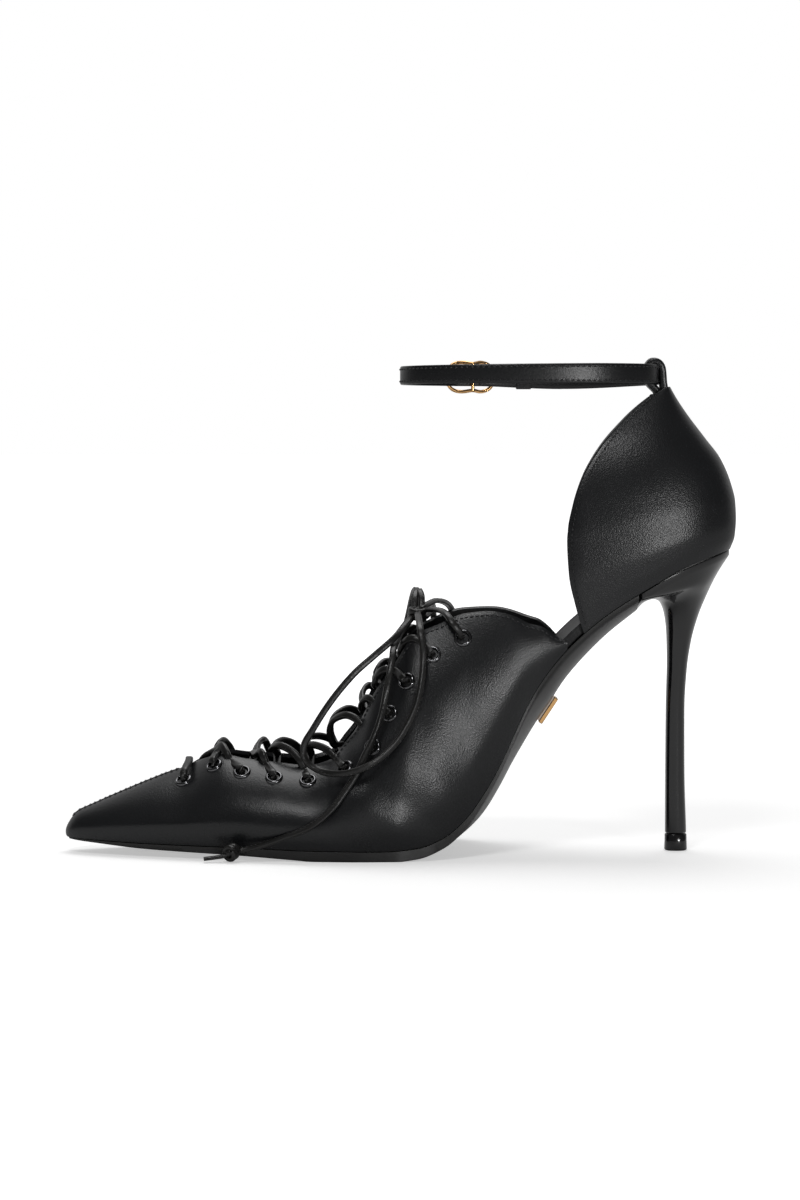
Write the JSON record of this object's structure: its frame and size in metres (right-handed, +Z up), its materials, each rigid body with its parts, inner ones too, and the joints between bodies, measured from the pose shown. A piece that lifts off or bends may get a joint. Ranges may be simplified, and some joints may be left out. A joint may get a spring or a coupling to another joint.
{
  "type": "lace up heel",
  "caption": "Pointed stiletto shoe with a crossed lace over the vamp, cut-out sides, a high heel counter and a buckled ankle strap.",
  "frame": {"origin": "on the floor under the middle of the shoe's box, without its lace ends", "axes": "toe to -X, heel to +X, inner side of the foot to -Y, +Z up"},
  "size_m": [0.232, 0.0836, 0.1712],
  "materials": {
    "upper_leather": "smooth black leather with a satin sheen",
    "lining_leather": "smooth black lining leather",
    "sole_leather": "black lacquered sole leather",
    "lace_leather": "folded and stitched black leather lace",
    "gloss_heel": "high gloss black lacquer",
    "heel_tip": "gloss black",
    "black_metal": "gloss black enamel",
    "gold_metal": "polished pale gold"
  },
  "bodies": {
    "root": {"ankle_strap": "upper_leather", "buckle_frame": "gold_metal", "buckle_prong": "gold_metal", "eyelet_lateral_01": "black_metal", "eyelet_lateral_02": "black_metal", "eyelet_lateral_03": "black_metal", "eyelet_lateral_04": "black_metal", "eyelet_lateral_05": "black_metal", "eyelet_lateral_06": "black_metal", "eyelet_lateral_07": "black_metal", "eyelet_lateral_08": "black_metal", "eyelet_lateral_09": "black_metal", "eyelet_lateral_10": "black_metal", "eyelet_lateral_11": "black_metal", "eyelet_medial_01": "black_metal", "eyelet_medial_02": "black_metal", "eyelet_medial_03": "black_metal", "eyelet_medial_04": "black_metal", "eyelet_medial_05": "black_metal", "eyelet_medial_06": "black_metal", "eyelet_medial_07": "black_metal", "eyelet_medial_08": "black_metal", "eyelet_medial_09": "black_metal", "eyelet_medial_10": "black_metal", "eyelet_medial_11": "black_metal", "heel": "gloss_heel", "heel_tip": "heel_tip", "insole": "lining_leather", "lace_cross_01": "lace_leather", "lace_cross_02": "lace_leather", "lace_cross_03": "lace_leather", "lace_cross_04": "lace_leather", "lace_cross_05": "lace_leather", "lace_cross_06": "lace_leather", "lace_cross_07": "lace_leather", "lace_cross_08": "lace_leather", "lace_cross_09": "lace_leather", "lace_cross_10": "lace_leather", "lace_end_knot_lateral": "lace_leather", "lace_end_knot_medial": "lace_leather", "lace_end_lateral": "lace_leather", "lace_end_medial": "lace_leather", "lace_knot": "lace_leather", "lace_loop_lateral": "lace_leather", "lace_loop_medial": "lace_leather", "lace_tie_lateral": "lace_leather", "lace_tie_medial": "lace_leather", "outsole": "sole_leather", "sole_plate": "gold_metal", "strap_keeper": "upper_leather", "strap_loop": "upper_leather", "upper_back": "upper_leather", "upper_front": "upper_leather"}
  },
  "joints": []
}
